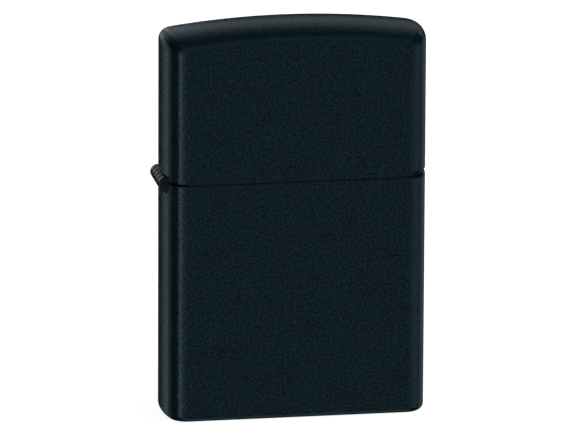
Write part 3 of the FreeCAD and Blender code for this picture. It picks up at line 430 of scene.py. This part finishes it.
def add_strand(shell, path, outward, across, thick, sides=6):
    """A closed strand along path, with an oval section: across and thick are its half-widths."""
    tangent = unit(np.gradient(path, axis=0))
    side = unit(np.cross(tangent, outward))
    lift = np.cross(side, tangent)
    turns = 2.0 * math.pi * np.arange(sides) / sides
    ring = (
        side[:, None, :] * (across * np.cos(turns))[None, :, None]
        + lift[:, None, :] * (thick * np.sin(turns))[None, :, None]
    )
    points = (path[:, None, :] + ring).reshape(-1, 3)
    rows = len(path)
    caps = [tuple(range(sides)), tuple(range((rows - 1) * sides, rows * sides))]
    shell.add(points, grid_faces(rows, sides) + caps)


def spline_points(controls, spacing):
    """Evenly spaced points, and their distances, along a NURBS spline with these control points."""
    curve = bpy.data.curves.new("route", "CURVE")
    curve.dimensions = "3D"
    spline = curve.splines.new("NURBS")
    spline.points.add(len(controls) - 1)
    for point, place in zip(spline.points, controls):
        point.co = (*place, 1.0)
    spline.order_u = 3
    spline.use_endpoint_u = True
    spline.resolution_u = 32
    holder = bpy.data.objects.new("route", curve)
    bpy.context.collection.objects.link(holder)
    traced = np.array([vertex.co for vertex in holder.to_mesh().vertices])
    holder.to_mesh_clear()
    bpy.data.objects.remove(holder)
    bpy.data.curves.remove(curve)
    lengths = np.linalg.norm(np.diff(traced, axis=0), axis=1)
    along = np.concatenate([[0.0], np.cumsum(lengths)])
    distances = np.linspace(0.0, along[-1], int(along[-1] / spacing) + 1)
    places = np.stack([np.interp(distances, along, traced[:, axis]) for axis in range(3)], axis=1)
    return places, distances


# ------------------------------------------------------------------ wick

# Control points of the wick's route: x and z in millimetres, from the top of the wick down.
WICK_ROUTE = [(-0.8, 45.6), (-0.8, 30.0), (-3.4, 21.0), (0.2, 13.0), (-1.2, 5.7)]
WICK_STRANDS = 8
WICK_PITCH = 10.5 * MM
WICK_STRAND_MIDDLE = 1.13 * MM
WICK_STRAND_WEAVE = 0.08 * MM
WICK_STRAND_HALF_WIDTH = 0.33 * MM
WICK_STRAND_HALF_THICKNESS = 0.12 * MM
WICK_CORE = 1.02 * MM
WICK_STEP = 0.16 * MM
# The frayed threads that stand out of the wick's top.
WICK_TUFTS = 90
TUFT_SPREAD = 1.1 * MM
TUFT_ROOT_DEPTH = 0.25 * MM
TUFT_LEAN = 0.16 * MM
TUFT_RISE = (0.3 * MM, 0.6 * MM)
TUFT_RADIUS = 0.05 * MM
TUFT_POINTS = 5


def make_wick():
    """A round braid of flat strands over a core, with a frayed top."""
    centre, distances = spline_points([(x * MM, 0.0, z * MM) for x, z in WICK_ROUTE], WICK_STEP)
    tangent = unit(np.gradient(centre, axis=0))
    depth = np.tile([0.0, 1.0, 0.0], (len(centre), 1))
    side = np.cross(tangent, depth)
    shell = Shell()
    add_strand(shell, centre[1:-1], side[1:-1], WICK_CORE, WICK_CORE, sides=20)
    for hand in (1, -1):
        for strand in range(WICK_STRANDS):
            wound = 2.0 * math.pi * distances / WICK_PITCH
            angle = hand * wound + 2.0 * math.pi * strand / WICK_STRANDS
            outward = side * np.cos(angle)[:, None] + depth * np.sin(angle)[:, None]
            weave = hand * np.cos(WICK_STRANDS * wound)
            reach = WICK_STRAND_MIDDLE + WICK_STRAND_WEAVE * weave
            add_strand(
                shell, centre + outward * reach[:, None], outward,
                WICK_STRAND_HALF_WIDTH, WICK_STRAND_HALF_THICKNESS,
            )
    top = np.array(centre[0])
    for _ in range(WICK_TUFTS):
        turn = draw.uniform(0.0, 2.0 * math.pi)
        aside = TUFT_SPREAD * math.sqrt(draw.uniform(0.0, 1.0))
        root = top + np.array([aside * math.cos(turn), aside * math.sin(turn), -TUFT_ROOT_DEPTH])
        lean = np.array([
            draw.uniform(-TUFT_LEAN, TUFT_LEAN), draw.uniform(-TUFT_LEAN, TUFT_LEAN), 0.0,
        ])
        rise = draw.uniform(*TUFT_RISE)
        steps = np.linspace(0.0, 1.0, TUFT_POINTS)[:, None]
        path = root + steps * np.array([0.0, 0.0, rise]) + steps ** 2 * lean
        facing = np.tile([1.0, 0.0, 0.0], (TUFT_POINTS, 1))
        add_strand(shell, path, facing, TUFT_RADIUS, TUFT_RADIUS, sides=4)
    wick = shell.make("wick_braid", materials["cotton"])
    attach(wick, "case")
    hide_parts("wick")
    return wick


# ------------------------------------------------------------------ felt and packing


SOFTEN_FACTOR = 0.5
SOFTEN_ROUNDS = 3


def soft_copy(node, name, voxel, lumps, material):
    """A finely meshed copy of a plain solid whose skin is drawn inwards by noise.

    lumps pairs the greatest depth of each noise with the size of its lumps.
    """
    piece = bpy.data.objects.new(name, nodes[node].data.copy())
    bpy.context.collection.objects.link(piece)
    remesh = piece.modifiers.new("remesh", "REMESH")
    remesh.mode = "VOXEL"
    remesh.voxel_size = voxel
    soften = piece.modifiers.new("soften", "SMOOTH")
    soften.factor = SOFTEN_FACTOR
    soften.iterations = SOFTEN_ROUNDS
    dependencies = bpy.context.evaluated_depsgraph_get()
    mesh = bpy.data.meshes.new_from_object(piece.evaluated_get(dependencies))
    piece.modifiers.clear()
    piece.data = mesh
    places = []
    for vertex in mesh.vertices:
        inward = sum(
            depth * (0.5 + 0.5 * noise.noise(vertex.co / size)) for depth, size in lumps
        )
        places.append(vertex.co - vertex.normal * inward)
    for vertex, place in zip(mesh.vertices, places):
        vertex.co = place
    mesh.polygons.foreach_set("use_smooth", [True] * len(mesh.polygons))
    set_material(piece, material)
    return piece


# One loose fibre: its radius, how far its middle lies over the skin and its ends sink, how its half
# length and its curl vary as shares of the reach, and its points.
FIBRE_RADIUS = 0.035 * MM
FIBRE_LIFT = 0.02 * MM
FIBRE_SINK = 0.12 * MM
FIBRE_HALF_LENGTH = (0.4, 1.0)
FIBRE_CURL = (-0.5, 0.5)
FIBRE_POINTS = 9


def loose_fibres(skin, name, count, reach, material):
    """Short curled fibres that lie over a soft piece's skin."""
    shell = Shell()
    vertices = skin.data.vertices
    steps = np.linspace(-1.0, 1.0, FIBRE_POINTS)[:, None]
    for _ in range(count):
        vertex = vertices[draw.randrange(len(vertices))]
        up = np.array(vertex.normal)
        ahead = np.cross(up, [draw.uniform(-1.0, 1.0) for _ in range(3)])
        ahead /= np.linalg.norm(ahead)
        aside = np.cross(up, ahead)
        half = reach * draw.uniform(*FIBRE_HALF_LENGTH)
        curl = reach * draw.uniform(*FIBRE_CURL)
        path = (
            np.array(vertex.co) + up * FIBRE_LIFT + steps * half * ahead
            + (steps ** 2) * curl * aside - (steps ** 2) * FIBRE_SINK * up
        )
        facing = np.tile(up, (len(path), 1))
        add_strand(shell, path, facing, FIBRE_RADIUS, FIBRE_RADIUS, sides=4)
    return shell.make(name, material)


PACKING_LUMPS = [(0.45 * MM, 2.4 * MM), (0.16 * MM, 0.5 * MM)]
PACKING_VOXEL = 0.3 * MM
PACKING_FIBRES = 120
PACKING_FIBRE_REACH = 0.9 * MM
FELT_LUMPS = [(0.10 * MM, 3.0 * MM), (0.10 * MM, 0.35 * MM)]
FELT_VOXEL = 0.2 * MM


def make_packing():
    """Five wads of loose cotton, each filling its pocket round the wick."""
    for number, node in enumerate(PACKING_NODES, start=1):
        wad = soft_copy(
            node, f"packing_wad_{number}", PACKING_VOXEL, PACKING_LUMPS, materials["wadding"],
        )
        fibres = loose_fibres(
            wad, f"packing_fibres_{number}", PACKING_FIBRES, PACKING_FIBRE_REACH, materials["wadding"],
        )
        for piece in (wad, fibres):
            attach(piece, "case")
        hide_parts(node)


def make_felt():
    """The dense felt pad at the bottom of the insert."""
    felt = soft_copy("felt_pad", "felt_pad_skin", FELT_VOXEL, FELT_LUMPS, materials["felt"])
    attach(felt, "case")
    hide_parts("felt_pad")


# ------------------------------------------------------------------ flint wheel

WHEEL_RADIUS = 4.7 * MM
WHEEL_BORE = 1.05 * MM
WHEEL_HUB = 2.2 * MM
WHEEL_DISH = 0.25 * MM
WHEEL_BEVEL = 0.3 * MM
WHEEL_HUB_SLOPE = 0.15 * MM
WHEEL_LAND = 0.5 * MM
WHEEL_LAND_DROP = 0.02 * MM
WHEEL_TEETH = 52
TOOTH_SAMPLES = 9
TOOTH_DEPTH = 0.34 * MM
TOOTH_ROWS = 72


def make_wheel():
    """The striker wheel: a rim of fine diamond teeth where two slanting sets of grooves cross."""
    low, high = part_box("flint_wheel")
    middle = np.array((low + high) / 2)
    half = (high.y - low.y) / 2
    rim = WHEEL_RADIUS - WHEEL_BEVEL
    side = [
        (WHEEL_BORE, half - WHEEL_DISH), (WHEEL_HUB - WHEEL_HUB_SLOPE, half - WHEEL_DISH),
        (WHEEL_HUB, half), (rim - WHEEL_LAND, half), (rim, half - WHEEL_LAND_DROP),
    ]
    band = np.linspace(half - WHEEL_BEVEL, -half + WHEEL_BEVEL, TOOTH_ROWS)
    profile = side + [(WHEEL_RADIUS, width) for width in band]
    profile += [(radius, -width) for radius, width in reversed(side)]
    columns = WHEEL_TEETH * TOOTH_SAMPLES
    angles = 2.0 * math.pi * np.arange(columns) / columns
    rounds = WHEEL_TEETH * angles
    pitch = 2.0 * math.pi * WHEEL_RADIUS / WHEEL_TEETH
    points = []
    for number, (radius, width) in enumerate(profile):
        reach = np.full(columns, radius)
        if len(side) <= number < len(side) + TOOTH_ROWS:
            slant = 2.0 * math.pi * width / (2.0 * pitch)
            ridges = np.abs(np.sin((rounds + slant) / 2.0)) * np.abs(np.sin((rounds - slant) / 2.0))
            reach -= TOOTH_DEPTH * (1.0 - np.sqrt(ridges))
        points.append(np.stack([
            middle[0] + reach * np.cos(angles),
            np.full(columns, middle[1] + width),
            middle[2] + reach * np.sin(angles),
        ], axis=1))
    shell = Shell()
    shell.add(np.concatenate(points), grid_faces(len(profile), columns, close_rows=True))
    wheel = shell.make("striker_wheel", materials["tool_steel"], smooth=False)
    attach(wheel, "flint_wheel")
    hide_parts("flint_wheel")


draw = random.Random(SEED)
make_wick()
make_packing()
make_felt()
make_wheel()


# ------------------------------------------------------------------ stage, light and camera


FLOOR_RADIUS = 6.0
FLOOR_SIDES = 96
FLOOR_COLOUR = (0.86, 0.86, 0.86, 1.0)
FLOOR_GLOW_COLOUR = (1.0, 1.0, 1.0, 1.0)
FLOOR_GLOW = 0.90


def make_floor():
    """A round pale floor, far larger than any view needs. Gloss and shade don't see it, the camera does."""
    bpy.ops.mesh.primitive_circle_add(vertices=FLOOR_SIDES, radius=FLOOR_RADIUS, fill_type="NGON")
    floor = bpy.context.object
    floor.name = "studio_floor"
    material, tree, output, _ = new_material("pale_floor")
    principled(
        tree, output, Base_Color=FLOOR_COLOUR, Roughness=1.0, Specular_IOR_Level=0.0,
        Emission_Color=FLOOR_GLOW_COLOUR, Emission_Strength=FLOOR_GLOW,
    )
    set_material(floor, material)
    floor.visible_glossy = False
    floor.visible_diffuse = False
    floor.visible_shadow = False
    return floor


# Studio panels: name, heading in degrees from +Y towards +X, elevation, width, height (metres) and radiance.
PANEL_DISTANCE = 1.2
SOFTBOXES = [
    ("key_strip", 227.0, -10.0, 0.252, 1.3, 1.78),
    ("key_edge", 212.0, -10.0, 0.378, 1.3, 0.45),
    ("front", 179.0, -10.0, 1.02, 1.12, 0.20),
    ("front_right", 125.0, -10.0, 1.12, 1.12, 0.417),
    ("right", 65.0, -10.0, 1.12, 1.12, 0.327),
    ("left", 270.0, -10.0, 0.80, 1.12, 0.039),
    ("back_left", 307.0, -10.0, 0.70, 1.12, 0.20),
    ("back_strip", 329.0, -10.0, 0.252, 1.2, 0.36),
    ("back_edge", 2.0, -10.0, 0.126, 1.2, 0.56),
    ("hinge_glint", 345.0, 4.0, 0.35, 0.32, 0.60),
    ("back_upper", 10.0, 20.0, 1.40, 0.40, 0.286),
    ("back_top", 10.0, 75.0, 1.40, 0.64, 0.07),
    ("front_top", 190.0, 48.0, 1.40, 1.39, 0.238),
    ("front_low", 170.0, -72.0, 1.00, 0.85, 0.50),
    ("soft_top", 100.0, 40.0, 0.90, 0.90, 2.3),
    ("soft_back", 10.0, 4.0, 0.90, 0.90, 2.0),
]
# These panels only fill in shade: gloss doesn't mirror them.
UNMIRRORED = ("soft_top", "soft_back")
LIGHT_COLOUR = (0.80, 0.93, 1.0)
WORLD_COLOUR = (0.008, 0.009, 0.010, 1.0)


def softbox(name, heading, elevation, width, height, radiance, aim):
    """A rectangular light that faces aim and stands upright beside it."""
    light = bpy.data.lights.new(name, "AREA")
    light.shape = "RECTANGLE"
    light.size = width
    light.size_y = height
    light.energy = radiance * math.pi * width * height
    light.color = LIGHT_COLOUR
    lamp = bpy.data.objects.new(name, light)
    bpy.context.collection.objects.link(lamp)
    turn, rise = math.radians(heading), math.radians(elevation)
    towards = Vector((
        math.sin(turn) * math.cos(rise), math.cos(turn) * math.cos(rise), math.sin(rise),
    ))
    lamp.location = aim + towards * PANEL_DISTANCE
    lamp.rotation_mode = "QUATERNION"
    lamp.rotation_quaternion = towards.to_track_quat("Z", "Y")
    lamp.visible_camera = False
    lamp.visible_glossy = name not in UNMIRRORED
    return lamp


def make_lights():
    low, high = cad_box
    for panel in SOFTBOXES:
        softbox(*panel, aim=(low + high) / 2)
    world = bpy.data.worlds.new("studio")
    world.use_nodes = True
    world.node_tree.nodes["Background"].inputs["Color"].default_value = WORLD_COLOUR
    bpy.context.scene.world = world


CAMERA_AZIMUTH = math.radians(9.842)
CAMERA_ELEVATION = math.radians(15.209)
CAMERA_ROLL = math.radians(0.286)
CAMERA_DISTANCE = 1320.0 * MM
CAMERA_AIM_HEIGHT = 28.25 * MM
CAMERA_SENSOR_MM = 36.0
CAMERA_CLIP_START = 0.05
CAMERA_CLIP_END = 50.0
# The width of the view where the camera aims.
VIEW_WIDTH = 80.6003 * MM
# How far the point at the aim height on the Z axis stands from the middle of the view, to the right and up.
AIM_RIGHT = 0.1876 * MM
AIM_UP = 0.9755 * MM


def make_camera():
    """The camera looks from the front, a little from the hinge side and from above, through a long lens."""
    camera = bpy.data.cameras.new("camera")
    camera.sensor_width = CAMERA_SENSOR_MM
    camera.lens = CAMERA_SENSOR_MM * CAMERA_DISTANCE / VIEW_WIDTH
    camera.clip_start = CAMERA_CLIP_START
    camera.clip_end = CAMERA_CLIP_END
    holder = bpy.data.objects.new("camera", camera)
    bpy.context.collection.objects.link(holder)
    level = math.cos(CAMERA_ELEVATION)
    ahead = Vector((
        math.sin(CAMERA_AZIMUTH) * level, math.cos(CAMERA_AZIMUTH) * level, -math.sin(CAMERA_ELEVATION),
    ))
    right = Vector((math.cos(CAMERA_AZIMUTH), -math.sin(CAMERA_AZIMUTH), 0.0))
    up = right.cross(ahead)
    rolled_right = right * math.cos(CAMERA_ROLL) + up * math.sin(CAMERA_ROLL)
    rolled_up = up * math.cos(CAMERA_ROLL) - right * math.sin(CAMERA_ROLL)
    aim = Vector((0.0, 0.0, CAMERA_AIM_HEIGHT)) - rolled_right * AIM_RIGHT - rolled_up * AIM_UP
    turn = Matrix((rolled_right, rolled_up, -ahead)).transposed()
    holder.matrix_world = Matrix.Translation(aim - ahead * CAMERA_DISTANCE) @ turn.to_4x4()
    bpy.context.scene.camera = holder


make_floor()
make_lights()
make_camera()
bpy.context.scene.view_settings.view_transform = "Standard"
